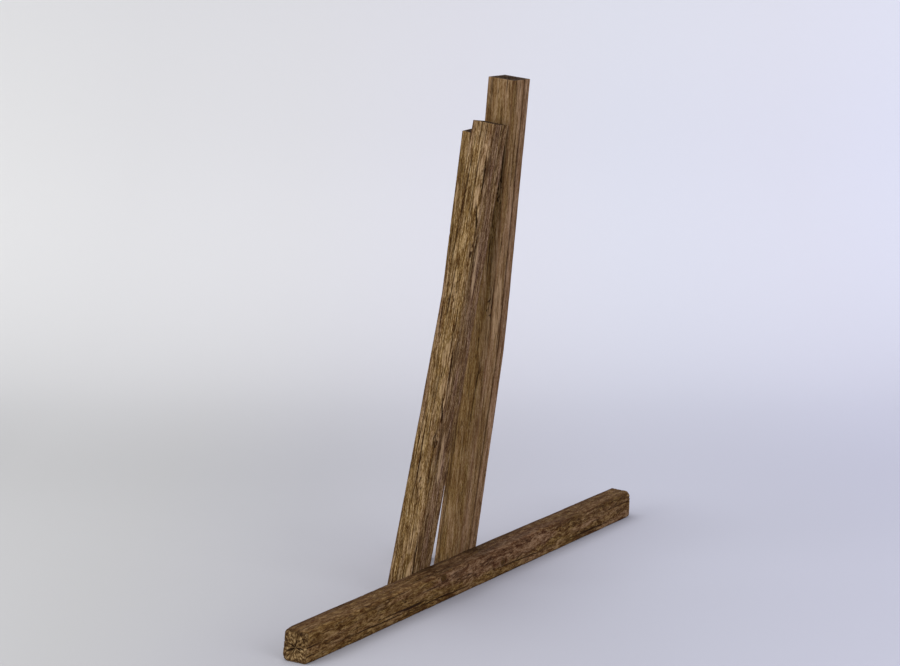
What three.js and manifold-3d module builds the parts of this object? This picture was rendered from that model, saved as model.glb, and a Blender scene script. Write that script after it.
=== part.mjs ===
// A training dummy of weathered square timbers, as a three.js scene graph.
// Three leaning posts stand on their sawn feet behind a ground beam. The tall post and the front post
// cross over the beam and meet side by side at their heads, and the rear post props them from behind.
// Units are millimetres. +X runs along the ground beam, +Y to the back, +Z up, and the floor is Z = 0.
import * as THREE from "three";
import { mergeVertices, toCreasedNormals } from "three/addons/utils/BufferGeometryUtils.js";
import Module from "manifold-3d";

const wasm = await Module();
wasm.setup();

// Driving dimensions ----------------------------------------------------------------------------
const BEAM_LENGTH = 2379; // between the middles of its two ends
const BEAM_DEPTH = 100;
const BEAM_NEAR_HEIGHT = 105;
const BEAM_FAR_HEIGHT = 108;
const BEAM_ARRIS = 4; // worn corner along the beam
// The saw cuts run out of square. These are the X gained per mm of Y and of Z.
const NEAR_CUT = { perDepth: 0, perHeight: 0.2 };
const FAR_CUT = { perDepth: 0.2, perHeight: 0.08 };
const END_EASE = 2; // worn edge round a sawn end
const CLEARANCE = 0.3; // between touching pieces

// Each post's centre line runs foot, knee, top. A weathered post bends at its knee. Its foot is cut level, and
// its top is cut square but for topCut: how far the cut rises per mm to the post's right and to its back.
const POSTS = {
  tall: {
    node: "tall_post",
    foot: [5, 123.8, 0],
    knee: [45.6, 1.9, 922],
    top: [6, -124.1, 1924],
    footSide: 112,
    topSide: 112,
    topCut: { perRight: 0, perBack: 0 },
    turn: -2.3, // degrees about the upright
    arris: 3,
  },
  front: {
    node: "front_post",
    foot: [-337.4, 118.2, 0],
    knee: [-214, 3.6, 880],
    top: [-95.1, -104.8, 1763],
    footSide: 108.5,
    topSide: 96.5,
    topCut: { perRight: 0.045, perBack: 0.027 },
    turn: 0,
    arris: 3,
  },
  rear: {
    node: "rear_post",
    foot: [116.9, 379, 0],
    knee: [77.4, 175.3, 850],
    top: [5.6, 5.8, 1721],
    footSide: 94.7,
    topSide: 91.7,
    topCut: { perRight: 0, perBack: 0 },
    turn: -0.6,
    arris: 3,
  },
};
const BEND = 130; // half the height over which a knee curves
const RING_STEP = 130; // height between a post's sections

// Coach screws: a hexagon head and a washer on the outer face of one post, biting into the next timber.
const SHANK_RADIUS = 5;
const TIP_LENGTH = 9;
const HEAD_ACROSS_FLATS = 17;
const HEAD_HEIGHT = 7;
const WASHER_RADIUS = 15;
const WASHER_THICKNESS = 2.5;
const BORE_RADIUS = SHANK_RADIUS + CLEARANCE;
const ROUND_SIDES = 24;

// height is where the screw's axis meets the post's face, and across is its distance from the face's middle.
const FIXINGS = [
  { name: "tall_foot_low", post: "tall", into: "beam", face: "back", height: 52, across: -26, shank: 180 },
  { name: "tall_foot_high", post: "tall", into: "beam", face: "back", height: 88, across: 26, shank: 180 },
  { name: "front_foot_low", post: "front", into: "beam", face: "back", height: 52, across: -26, shank: 175 },
  { name: "front_foot_high", post: "front", into: "beam", face: "back", height: 88, across: 26, shank: 175 },
  { name: "head_side_low", post: "tall", into: "front", face: "right", height: 1668, across: -20, shank: 180 },
  { name: "head_side_high", post: "tall", into: "front", face: "right", height: 1716, across: 18, shank: 180 },
  { name: "head_rear_low", post: "rear", into: "tall", face: "back", height: 1586, across: -16, shank: 160 },
  { name: "head_rear_high", post: "rear", into: "tall", face: "back", height: 1652, across: 14, shank: 160 },
];

// Materials -------------------------------------------------------------------------------------
function standardMaterial(name, color, roughness, metalness) {
  return new THREE.MeshStandardMaterial({ name, color, roughness, metalness });
}

const MATERIALS = {
  beam: standardMaterial("beam_timber", 0x5b4634, 0.9, 0),
  tall: standardMaterial("tall_timber", 0x6a5237, 0.85, 0),
  front: standardMaterial("front_timber", 0x7a6140, 0.85, 0),
  rear: standardMaterial("rear_timber", 0x6b5438, 0.85, 0),
  steel: standardMaterial("fixing_steel", 0x77736c, 0.55, 0.9),
};

// Solids ----------------------------------------------------------------------------------------
function toSolid(geometry) {
  const bare = geometry.clone();
  bare.deleteAttribute("normal");
  bare.deleteAttribute("uv");
  const merged = mergeVertices(bare, 1e-4);
  return new wasm.Manifold(
    new wasm.Mesh({
      numProp: 3,
      vertProperties: new Float32Array(merged.attributes.position.array),
      triVerts: new Uint32Array(merged.index.array),
    }),
  );
}

function toGeometry(solid) {
  const mesh = solid.getMesh();
  const geometry = new THREE.BufferGeometry();
  geometry.setAttribute("position", new THREE.BufferAttribute(mesh.vertProperties, 3));
  geometry.setIndex(new THREE.BufferAttribute(mesh.triVerts, 1));
  return toCreasedNormals(geometry, THREE.MathUtils.degToRad(30));
}

// A closed skin over a row of equal rings, each a list of points in the same turning order.
function loft(rings) {
  const sides = rings[0].length;
  const points = rings.flat();
  const faces = [];
  for (let ring = 0; ring + 1 < rings.length; ring += 1) {
    for (let side = 0; side < sides; side += 1) {
      const next = (side + 1) % sides;
      const near = ring * sides;
      const far = near + sides;
      faces.push(near + side, near + next, far + next);
      faces.push(near + side, far + next, far + side);
    }
  }
  const last = (rings.length - 1) * sides;
  for (let side = 1; side + 1 < sides; side += 1) {
    faces.push(0, side + 1, side);
    faces.push(last, last + side, last + side + 1);
  }
  const geometry = new THREE.BufferGeometry().setFromPoints(points);
  geometry.setIndex(faces);
  return geometry;
}

// The corners of a width by height section with cut arrises, turning from +u to +v.
function worked(width, height, arris) {
  const u = width / 2;
  const v = height / 2;
  return [
    [u, arris - v],
    [u, v - arris],
    [u - arris, v],
    [arris - u, v],
    [-u, v - arris],
    [-u, arris - v],
    [arris - u, -v],
    [u - arris, -v],
  ];
}

// Posts -----------------------------------------------------------------------------------------
// The centre line at a height: two straight legs, joined by a parabola over the knee.
function centreAt(post, height) {
  const foot = new THREE.Vector3(...post.foot);
  const knee = new THREE.Vector3(...post.knee);
  const top = new THREE.Vector3(...post.top);
  const lower = knee.clone().sub(foot).divideScalar(knee.z - foot.z);
  const upper = top.clone().sub(knee).divideScalar(top.z - knee.z);
  const above = height - knee.z;
  const leg = above < 0 ? lower : upper;
  const centre = knee.clone().addScaledVector(leg, above);
  if (Math.abs(above) < BEND) {
    const rise = (BEND - Math.abs(above)) ** 2 / (4 * BEND);
    centre.addScaledVector(upper.clone().sub(lower), rise);
  }
  return centre;
}

// The section at a height: its centre, its own right, back and along directions, and its side.
function sectionAt(post, height) {
  const reach = 1;
  const centre = centreAt(post, height);
  const along = centreAt(post, height + reach)
    .sub(centreAt(post, height - reach))
    .normalize();
  const turn = THREE.MathUtils.degToRad(post.turn);
  const right = new THREE.Vector3(Math.cos(turn), Math.sin(turn), 0);
  right.addScaledVector(along, -right.dot(along)).normalize();
  const back = new THREE.Vector3().crossVectors(along, right);
  const side = THREE.MathUtils.lerp(post.footSide, post.topSide, height / post.top[2]);
  return { centre, right, back, along, side };
}

// A ring of the section. A level ring is cut by the horizontal plane, and any other by the top's saw cut.
function postRing(post, height, inset, level) {
  const { centre, right, back, along, side } = sectionAt(post, height);
  const { perRight, perBack } = post.topCut;
  const width = side - 2 * inset;
  return worked(width, width, post.arris).map(([u, v]) => {
    const point = centre.clone().addScaledVector(right, u).addScaledVector(back, v);
    const rise = level ? (height - point.z) / along.z : perRight * u + perBack * v;
    return point.addScaledVector(along, rise);
  });
}

function postGeometry(post) {
  const topHeight = post.top[2];
  const lastLevel = topHeight - post.topSide / 2;
  const steps = Math.ceil(lastLevel / RING_STEP);
  const rings = [postRing(post, 0, END_EASE, true)];
  for (let step = 0; step <= steps; step += 1) {
    const height = THREE.MathUtils.lerp(END_EASE, lastLevel, step / steps);
    rings.push(postRing(post, height, 0, true));
  }
  const ease = END_EASE * sectionAt(post, topHeight - END_EASE).along.z;
  rings.push(postRing(post, topHeight - ease, 0, false));
  rings.push(postRing(post, topHeight, END_EASE, false));
  return loft(rings);
}

// Ground beam -----------------------------------------------------------------------------------
function beamGeometry() {
  const half = BEAM_LENGTH / 2;
  const stations = [
    { x: -half, inset: END_EASE, cut: NEAR_CUT },
    { x: -half + END_EASE, inset: 0, cut: NEAR_CUT },
    { x: half - END_EASE, inset: 0, cut: FAR_CUT },
    { x: half, inset: END_EASE, cut: FAR_CUT },
  ];
  return loft(
    stations.map(({ x, inset, cut }) => {
      const height = THREE.MathUtils.lerp(BEAM_NEAR_HEIGHT, BEAM_FAR_HEIGHT, x / BEAM_LENGTH + 0.5);
      return worked(BEAM_DEPTH - 2 * inset, height - 2 * inset, BEAM_ARRIS).map(
        ([y, z]) => new THREE.Vector3(x + cut.perDepth * y + cut.perHeight * z, y, z + height / 2),
      );
    }),
  );
}

// Fixings ---------------------------------------------------------------------------------------
// A frame on a post's face, with its Z axis pointing out of the wood.
function facePlacement({ post, face, height, across }) {
  const { centre, right, back, along, side } = sectionAt(POSTS[post], height);
  const outward = face === "back" ? back : right;
  const sideways = face === "back" ? right : back;
  const origin = centre.addScaledVector(outward, side / 2).addScaledVector(sideways, across);
  const level = new THREE.Vector3().crossVectors(outward, along);
  return new THREE.Matrix4().makeBasis(along, level, outward).setPosition(origin);
}

function boreSolid(fixing) {
  const outside = WASHER_RADIUS;
  const length = fixing.shank + outside + CLEARANCE;
  const bore = new THREE.CylinderGeometry(BORE_RADIUS, BORE_RADIUS, length, ROUND_SIDES);
  bore.rotateX(Math.PI / 2);
  bore.translate(0, 0, outside - length / 2);
  return toSolid(bore.applyMatrix4(facePlacement(fixing)));
}

function screwGeometry(shank) {
  const underHead = 2 * CLEARANCE + WASHER_THICKNESS;
  const profile = [
    [0, underHead - shank],
    [SHANK_RADIUS * 0.35, underHead - shank + 1],
    [SHANK_RADIUS, underHead - shank + TIP_LENGTH],
    [SHANK_RADIUS, underHead + 1],
    [0, underHead + 1],
  ].map(([r, y]) => new THREE.Vector2(r, y));
  const shankGeometry = new THREE.LatheGeometry(profile, ROUND_SIDES).rotateX(Math.PI / 2);
  const corner = HEAD_ACROSS_FLATS / Math.sqrt(3);
  const crownHeight = 1.5;
  const flats = new THREE.CylinderGeometry(corner, corner, HEAD_HEIGHT - crownHeight, 6);
  flats.rotateX(Math.PI / 2).translate(0, 0, underHead + (HEAD_HEIGHT - crownHeight) / 2);
  const crown = new THREE.CylinderGeometry(corner * 0.8, corner, crownHeight, 6);
  crown.rotateX(Math.PI / 2).translate(0, 0, underHead + HEAD_HEIGHT - crownHeight / 2);
  return toGeometry(toSolid(shankGeometry).add(toSolid(flats)).add(toSolid(crown)));
}

function washerGeometry() {
  const inner = BORE_RADIUS;
  const low = CLEARANCE;
  const high = CLEARANCE + WASHER_THICKNESS;
  const profile = [
    [inner, low],
    [WASHER_RADIUS, low],
    [WASHER_RADIUS, high],
    [inner, high],
    [inner, low],
  ].map(([r, y]) => new THREE.Vector2(r, y));
  return new THREE.LatheGeometry(profile, ROUND_SIDES).rotateX(Math.PI / 2);
}

// Assembly --------------------------------------------------------------------------------------
function addMesh(group, name, geometry, material, matrix) {
  const mesh = new THREE.Mesh(geometry, material);
  mesh.name = name;
  if (matrix) mesh.applyMatrix4(matrix);
  group.add(mesh);
}

// The timber with the bores of every screw that passes into it.
function boredTimber(key, geometry) {
  const screws = FIXINGS.filter(({ post, into }) => post === key || into === key);
  return screws.reduce((solid, fixing) => solid.subtract(boreSolid(fixing)), toSolid(geometry));
}

function buildDummy() {
  const dummy = new THREE.Group();
  dummy.name = "timber_dummy";
  addMesh(dummy, "ground_beam", toGeometry(boredTimber("beam", beamGeometry())), MATERIALS.beam);
  for (const [key, post] of Object.entries(POSTS)) {
    addMesh(dummy, post.node, toGeometry(boredTimber(key, postGeometry(post))), MATERIALS[key]);
  }
  for (const fixing of FIXINGS) {
    const placement = facePlacement(fixing);
    addMesh(dummy, `screw_${fixing.name}`, screwGeometry(fixing.shank), MATERIALS.steel, placement);
    addMesh(dummy, `washer_${fixing.name}`, washerGeometry(), MATERIALS.steel, placement);
  }
  return dummy;
}

export default buildDummy();
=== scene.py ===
"""A training dummy of weathered square timbers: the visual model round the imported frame, in metres."""

import math
from dataclasses import dataclass, field, replace
from functools import partial
from itertools import product

import bpy
import numpy as np
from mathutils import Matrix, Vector


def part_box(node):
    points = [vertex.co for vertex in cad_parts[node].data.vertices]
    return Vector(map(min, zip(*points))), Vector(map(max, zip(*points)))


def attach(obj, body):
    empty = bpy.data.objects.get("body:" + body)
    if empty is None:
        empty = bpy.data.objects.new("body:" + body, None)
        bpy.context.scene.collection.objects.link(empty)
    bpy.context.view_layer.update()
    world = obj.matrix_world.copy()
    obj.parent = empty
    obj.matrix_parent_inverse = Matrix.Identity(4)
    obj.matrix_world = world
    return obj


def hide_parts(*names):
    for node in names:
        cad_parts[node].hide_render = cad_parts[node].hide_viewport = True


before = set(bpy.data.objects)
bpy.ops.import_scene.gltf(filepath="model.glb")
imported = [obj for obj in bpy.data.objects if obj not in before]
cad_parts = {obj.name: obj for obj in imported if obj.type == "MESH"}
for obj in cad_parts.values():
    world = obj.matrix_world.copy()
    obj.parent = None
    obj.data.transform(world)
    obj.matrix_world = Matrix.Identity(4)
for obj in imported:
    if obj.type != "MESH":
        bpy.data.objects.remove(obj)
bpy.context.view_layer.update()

# The camera's place is in the frame of the ground beam.
CAMERA_AT = (-6.467, -3.918, 2.172)
CAMERA_AZIMUTH = -57.95  # degrees: 0 looks along +Y, 90 along -X
CAMERA_PITCH = 9.10  # degrees below the horizon
CAMERA_LENS = 80.75
SENSOR_WIDTH = 36.0
HEADING = math.radians(CAMERA_AZIMUTH)
AHEAD = Vector((-math.sin(HEADING), math.cos(HEADING), 0.0))  # level, away from the camera
RIGHT = Vector((AHEAD.y, -AHEAD.x, 0.0))


# == Repeatable noise ==
OCTAVE_STEP = 2.03  # how much finer each octave is
OCTAVE_SEED_STEP = 17
TABLE_SIZE = 4096
CELL_FACTORS = (374761393, 668265263, 2246822519)
SEED_FACTOR = 2654435
MIX_FACTOR = 1274126177
LARGEST = 4294967295  # of a 32-bit whole number


def lattice_value(cell, seed):
    """A repeatable value from -1 to 1 for each integer cell, by an integer hash."""
    x, y, z = (cell[..., i].astype(np.uint32) * np.uint32(CELL_FACTORS[i]) for i in range(3))
    mixed = x + y + z + np.uint32(seed * SEED_FACTOR % LARGEST)
    mixed = (mixed ^ (mixed >> np.uint32(13))) * np.uint32(MIX_FACTOR)
    mixed = mixed ^ (mixed >> np.uint32(16))
    return mixed.astype(np.float64) / (LARGEST / 2) - 1.0


def eased(part):
    return part * part * (3.0 - 2.0 * part)


def noise(points, seed):
    """Smooth value noise from -1 to 1 at each point, with cells one unit wide."""
    base = np.floor(points)
    blend = eased(points - base)
    cell = base.astype(np.int64)
    total = np.zeros(points.shape[:-1])
    for corner in product((0, 1), repeat=3):
        weight = np.prod(np.where(corner, blend, 1.0 - blend), axis=-1)
        total += weight * lattice_value(cell + np.array(corner), seed)
    return total


def fractal(points, size, seed, octaves=3):
    """Noise in octaves, with a first cell of the given size along each axis."""
    scaled = points / np.asarray(size, dtype=float)
    total = np.zeros(points.shape[:-1])
    for octave in range(octaves):
        total += 0.5**octave * noise(scaled, seed + OCTAVE_SEED_STEP * octave)
        scaled = scaled * OCTAVE_STEP
    return total / (2.0 - 0.5 ** (octaves - 1))


def line_noise(along, size, seed, octaves=3):
    """Fractal noise from -1 to 1 along one coordinate, from tables of seeded values."""
    total = np.zeros(np.shape(along))
    for octave in range(octaves):
        draw = np.random.default_rng(seed + OCTAVE_SEED_STEP * octave)
        table = draw.uniform(-1.0, 1.0, TABLE_SIZE)
        place = np.asarray(along) * OCTAVE_STEP**octave / size
        base = np.floor(place)
        cell = base.astype(np.int64)
        blend = eased(place - base)
        before, after = table[cell % TABLE_SIZE], table[(cell + 1) % TABLE_SIZE]
        total += 0.5**octave * (before * (1 - blend) + after * blend)
    return total / (2.0 - 0.5 ** (octaves - 1))


def bell(value, width):
    return np.exp(-((value / width) ** 2))


def smoothstep(low, high, value):
    return eased(np.clip((value - low) / (high - low), 0.0, 1.0))


# == Timbers: what each one is ==
# Faces and arrises turn about the timber from +X to +Y on a post, and from +Y to +Z on the beam. A place
# across a face runs from -1 to 1 the same way, and past 1 it goes on round the arris to the next face.
# Arris n lies between face n - 1 and face n.
POST_FACES = ("right", "back", "left", "front")
BEAM_FACES = ("back", "top", "front", "under")
BACK_TOP, TOP_FRONT, FRONT_UNDER, UNDER_BACK = 1, 2, 3, 0  # the beam's arrises


@dataclass
class Check:
    """A drying crack. drift is how far it wanders across the face from its start to its end."""

    face: str
    across: float
    drift: float
    along: float  # where it starts
    length: float
    width: float = 0.0030
    depth: float = 0.006


@dataclass
class Patch:
    """A soft ragged patch of one mask, with its middle and its half width and half length."""

    mask: str
    face: str
    across: float
    along: float
    half_width: float
    half_length: float
    strength: float = 1.0
    slope: float = 0.0  # metres across for each metre along


tint, grime_and_shade, sliver_and_painted_light = (partial(Patch, mask) for mask in ("tint", "grime_and_shade", "sliver_and_painted_light"))


@dataclass
class Chips:
    """Splintered wood: small pits and torn pale fibres, scattered in an oval."""

    face: str
    across: float
    along: float
    half_width: float
    half_length: float
    count: int


@dataclass
class Knot:
    face: str
    across: float
    along: float
    radius: float


@dataclass
class Timber:
    """How a CAD timber is weathered. A post is the default."""

    node: str
    slot: str
    seed: int
    tint: dict  # how far each face leans to the look's purple colours
    axis: int = 2  # the row axis that the timber runs along
    faces: tuple = POST_FACES
    columns: int = 44  # on each face
    arris: tuple = (0.003, 0.003, 0.003, 0.003)
    end_wear: dict = field(default_factory=dict)  # arris: its extra radius at the near end
    far_wear: dict = field(default_factory=dict)  # and at the far end
    nicks: float = 0.0015
    hew: float = 0.0010
    slant: float = 0.0  # metres that the grain runs across a face for each metre along
    random_checks: int = 11
    random_chips: int = 90
    details: list = field(default_factory=list)


# Each mark by its place: face, across and along, in metres along the timber's axis, and then its sizes.
TALL_DETAILS = [
    Check("front", 0.02, 0.36, -0.3, 2.5, 0.0034, 0.006),
    grime_and_shade("front", 0.21, 0.96, 0.0075, 1.7, 0.6, 0.008),
    # Painted shade: a thin shadow line down the left face.
    grime_and_shade("left", -0.68, 0.96, 0.006, 1.7, 0.6, 0.0015),
    Check("left", 0.35, 0.1, 0.6, 0.3, 0.0024, 0.003),
    tint("front", 0.66, 0.95, 0.024, 1.6, 0.6),
    grime_and_shade("left", 0.3, 1.06, 0.01, 0.035, 0.35),
    sliver_and_painted_light("left", 0.55, 0.93, 0.02, 0.11, 0.3),
    # Painted light: this pale patch lifts the shadow that the front post casts on the left face.
    sliver_and_painted_light("left", 0.85, 1.13, 0.014, 0.3, 0.4),
    sliver_and_painted_light("front", -0.5, 1.06, 0.032, 0.13, 0.75),
    tint("left", 0.75, 0.86, 0.02, 0.11, 0.3),
    sliver_and_painted_light("left", 0.62, 0.72, 0.004, 0.09, 0.5),
    Chips("left", 0.7, 1.06, 0.012, 0.04, 22),
    Chips("left", 0.66, 1.5, 0.012, 0.055, 22),
    Knot("back", 0.3, 1.2, 0.012),
]
# The front post splits along its left front arris in three like places, one above the other.
SPLIT_LIFTS = (0.0, -0.7, -1.4)
TOP_SPLIT = [
    Check("left", 0.86, -0.1, 1.455, 0.2, 0.004, 0.01),
    Check("left", 1.12, -0.58, 1.315, 0.165, 0.0042, 0.01),
    Check("left", 1.42, -0.22, 1.18, 0.22, 0.0036, 0.005),
    Check("left", -0.72, 0.16, 1.18, 0.32, 0.0022, 0.004),
    Check("left", -0.3, 0.1, 1.04, 0.26, 0.002, 0.004),
    grime_and_shade("left", 1.12, 1.61, 0.016, 0.045, 0.65),
    grime_and_shade("left", 1.25, 1.265, 0.012, 0.095, 0.6, 0.03),
    grime_and_shade("left", 0.62, 1.3, 0.012, 0.04, 0.45),
    grime_and_shade("left", -0.15, 1.5, 0.014, 0.05, 0.35),
    sliver_and_painted_light("left", 0.3, 1.615, 0.017, 0.05, 0.5, 0.02),
    sliver_and_painted_light("left", 0.52, 1.5, 0.012, 0.05, 0.75, 0.04),
    sliver_and_painted_light("left", 1.12, 1.5, 0.008, 0.045, 0.85, 0.03),
    sliver_and_painted_light("left", 0.8, 1.42, 0.006, 0.045, 0.55, 0.12),
    sliver_and_painted_light("left", 1.72, 1.225, 0.015, 0.11, 0.85, -0.1),
    sliver_and_painted_light("left", 0.05, 1.14, 0.004, 0.085, 0.9, -0.17),
    Chips("left", 0.7, 1.3, 0.013, 0.03, 26),
    Chips("left", 0.1, 1.13, 0.01, 0.075, 18),
]
REAR_DETAILS = [
    Check("left", -0.45, 0.1, 0.95, 0.62, 0.0026, 0.004),
    Check("back", 0.1, 0.3, 0.4, 1.05, 0.0036, 0.009),
    sliver_and_painted_light("left", -0.72, 1.48, 0.004, 0.08, 0.8),
    Knot("back", -0.4, 0.7, 0.013),
]
BEAM_DETAILS = [
    Check("front", 0.42, 0.16, -1.1, 0.62, 0.0032, 0.006),
    Check("front", 0.6, 0.1, -0.6, 0.55, 0.0032, 0.006),
    Check("front", 0.3, 0.35, -0.05, 0.6, 0.0032, 0.006),
    Check("front", 0.55, 0.2, 0.55, 0.55, 0.0032, 0.006),
    Check("top", 0.1, 0.2, -0.75, 0.65, 0.003, 0.005),
    tint("top", 0.8, 0.1, 0.09, 0.6, 0.72),
    tint("front", 0.2, 0.95, 0.06, 0.35, 0.4),
    tint("front", -0.4, 0.05, 0.05, 0.5, 0.6),
    # Painted shade: a dark line all along the top's back arris, where the posts stand close behind, and the
    # whole top darker than the front.
    grime_and_shade("top", -0.82, 0.0, 0.016, 1.8, 1.0),
    grime_and_shade("top", -0.15, 0.0, 0.06, 1.8, 0.62),
    grime_and_shade("top", 0.1, 0.85, 0.08, 0.5, 0.55),
    grime_and_shade("top", -0.55, -0.28, 0.03, 0.16, 0.45),
    grime_and_shade("top", -0.55, 0.06, 0.03, 0.14, 0.45),
    grime_and_shade("top", -0.1, -0.765, 0.026, 0.06, 0.6),
    grime_and_shade("front", -0.8, -0.74, 0.024, 0.05, 0.45),
    sliver_and_painted_light("front", -0.62, -0.755, 0.012, 0.032, 0.4),
    grime_and_shade("top", 0.3, -0.96, 0.02, 0.07, 0.35),
    grime_and_shade("front", -0.6, -0.24, 0.02, 0.05, 0.4),
    Knot("front", -0.72, -0.33, 0.013),
    Knot("front", 0.1, 0.1, 0.01),
    Knot("back", 0.2, 0.55, 0.013),
]

TIMBERS = [
    Timber(
        node="tall_post", slot="tall_timber", seed=11, slant=0.03,
        tint={"right": 0.55, "back": 0.35, "left": 0.15, "front": 0.55}, details=TALL_DETAILS,
    ),
    Timber(
        node="front_post", slot="front_timber", seed=23, slant=0.045,
        arris=(0.003, 0.003, 0.003, 0.004), nicks=0.0018,
        tint={"right": 0.6, "back": 0.4, "left": 0.1, "front": 0.72},
        details=[replace(detail, along=detail.along + lift) for lift in SPLIT_LIFTS for detail in TOP_SPLIT]
        + [Knot("right", 0.1, 0.9, 0.012)],
    ),
    Timber(
        node="rear_post", slot="rear_timber", seed=37, slant=0.05,
        tint={"right": 0.4, "back": 0.35, "left": 0.2, "front": 0.4}, details=REAR_DETAILS,
    ),
    Timber(
        node="ground_beam", slot="beam_timber", axis=0, faces=BEAM_FACES, seed=53, columns=36, slant=0.02,
        arris=(0.003, 0.003, 0.008, 0.003), nicks=0.0026, hew=0.0016, random_checks=8, random_chips=420,
        end_wear={BACK_TOP: 0.011, UNDER_BACK: 0.021, FRONT_UNDER: 0.006, TOP_FRONT: 0.004},
        far_wear={TOP_FRONT: 0.016, FRONT_UNDER: 0.006},
        tint={"back": 0.3, "top": 0.2, "front": 0.15, "under": 0.3}, details=BEAM_DETAILS,
    ),
]


# == Timbers: reading the CAD ==
class Profile:
    """The square section of a CAD timber along its length, read from slices of its mesh."""

    SLICES = 48
    END_MARGIN = 0.030
    TURN_LIMIT, TURNS_TRIED = 6.0, 241  # degrees either way

    def __init__(self, timber):
        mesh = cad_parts[timber.node].data
        self.points = np.array([tuple(vertex.co) for vertex in mesh.vertices])
        self.edges = np.array([tuple(edge.vertices) for edge in mesh.edges])
        self.axis = timber.axis
        self.plane = (0, 1) if timber.axis == 2 else (1, 2)
        self.low, self.high = self.points[:, self.axis].min(), self.points[:, self.axis].max()
        self.levels = np.linspace(self.low + self.END_MARGIN, self.high - self.END_MARGIN, self.SLICES)
        cuts = [self.slice(level) for level in self.levels]
        self.turn = self.find_turn(cuts[len(cuts) // 2])
        rotated = [self.rotate(cut, -self.turn) for cut in cuts]
        lows = np.array([cut.min(axis=0) for cut in rotated])
        highs = np.array([cut.max(axis=0) for cut in rotated])
        self.centres = (lows + highs) / 2
        self.halves = (highs - lows) / 2
        self.near_cap = self.find_cap(mesh, -1)
        self.far_cap = self.find_cap(mesh, 1)

    def slice(self, level):
        """Where the mesh's edges cross one level, as points across the timber."""
        start, end = self.points[self.edges[:, 0]], self.points[self.edges[:, 1]]
        below, above = start[:, self.axis] - level, end[:, self.axis] - level
        crossing = below * above < 0
        part = (below[crossing] / (below[crossing] - above[crossing]))[:, None]
        return (start[crossing] + part * (end[crossing] - start[crossing]))[:, self.plane]

    @staticmethod
    def rotate(points, angle):
        cos, sin = np.cos(angle), np.sin(angle)
        u, v = points[..., 0], points[..., 1]
        return np.stack([u * cos - v * sin, u * sin + v * cos], -1)

    def find_turn(self, cut):
        """The turn, in radians, that gives the section its smallest box."""
        turns = np.radians(np.linspace(-self.TURN_LIMIT, self.TURN_LIMIT, self.TURNS_TRIED))
        areas = [np.prod(np.ptp(self.rotate(cut, -turn), axis=0)) for turn in turns]
        return float(turns[int(np.argmin(areas))])

    def find_cap(self, mesh, sign):
        """The outward normal and middle of a sawn end: the face that looks furthest along the axis."""
        sawn = [face for face in mesh.polygons if sign * face.normal[self.axis] > 0.9]
        cap = max(sawn, key=lambda face: face.area)
        return np.array(cap.normal), np.array(cap.center)

    def along(self, values, level):
        """A row of slice values at any level, carried on straight past both ends."""
        levels = self.levels
        out = np.stack([np.interp(level, levels, values[:, i]) for i in range(2)], -1)
        for inner, outer, beyond in ((1, 0, level < levels[0]), (-2, -1, level > levels[-1])):
            slope = (values[outer] - values[inner]) / (levels[outer] - levels[inner])
            out = np.where(beyond[..., None], values[outer] + slope * (level - levels[outer])[..., None], out)
        return out

    def place(self, level, across):
        """The row-frame points of places across the section at a level."""
        flat = self.rotate(self.along(self.centres, level) + across, self.turn)
        level = np.broadcast_to(level, flat.shape[:-1])
        order = (flat[..., 0], flat[..., 1], level) if self.axis == 2 else (level, flat[..., 0], flat[..., 1])
        return np.stack(order, -1)

    def cap_level(self, square, cap):
        """The level at which each place of the unit square meets the plane of a sawn end."""
        normal, point = cap
        level = np.full(square.shape[:-1], point[self.axis])
        for _ in range(4):
            off = (self.place(level, square * self.along(self.halves, level)) - point) @ normal
            level = level - off / normal[self.axis]
        return level


# == Timbers: building ==
ALONG_STEP = 0.004
END_RADIUS = 0.0016
END_STEPS = (0.0, 0.0004, 0.0009, 0.0016)  # distances of the first rings from a sawn end
MIDDLE_MARGIN = 0.003  # and of the first of the evenly spaced rings
END_WEAR_REACH = 0.022
CAP_RINGS = 20
END_SPLITS = 14
RAY_RADIUS = 0.020  # of the turn that spreads the pattern of a sawn end into rays
WASHER_CLEAR = (0.017, 0.032)  # the wood is left flat inside the first distance from a washer's middle
RUN_WIDTH, RUN_LENGTH = 0.013, 0.10  # of the rust that runs down from a washer
BLOOM_WIDTH = 0.024  # of the rust round it

# Ranges that the seeded draws take from.
CHECK_LENGTHS, CHECK_WIDTHS, CHECK_DEPTHS = (0.08, 0.40), (0.0018, 0.0026), (0.0012, 0.0035)
END_CHECK_LENGTHS = (0.05, 0.20)
CHIP_HALF_WIDTHS, CHIP_HALF_LENGTHS, CHIP_DEPTHS = (0.0022, 0.0050), (0.005, 0.016), (0.0006, 0.0022)
SPLIT_STARTS, SPLIT_ENDS = (0.0, 0.014), (0.022, 0.052)  # distances from the pith
SPLIT_WIDTHS, SPLIT_DEPTHS = (0.0016, 0.0034), (0.004, 0.009)

MASKS = ("check", "sliver_and_painted_light", "knot", "stain", "grime_and_shade")


def face_grid(columns):
    """Columns round the section: the face of each, and its place across that face, from -1 to 1."""
    step = (np.arange(columns) + 0.5) / columns * 2 - 1
    across = step * (1.20 - 0.20 * step * step)
    return np.repeat(np.arange(4), columns), np.tile(across, 4)


def square_point(face, across):
    """The point of the unit square at a place across a face."""
    cos, sin = np.round(np.cos(face * math.pi / 2)), np.round(np.sin(face * math.pi / 2))
    return np.stack([cos - sin * across, sin + cos * across], -1)


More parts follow.
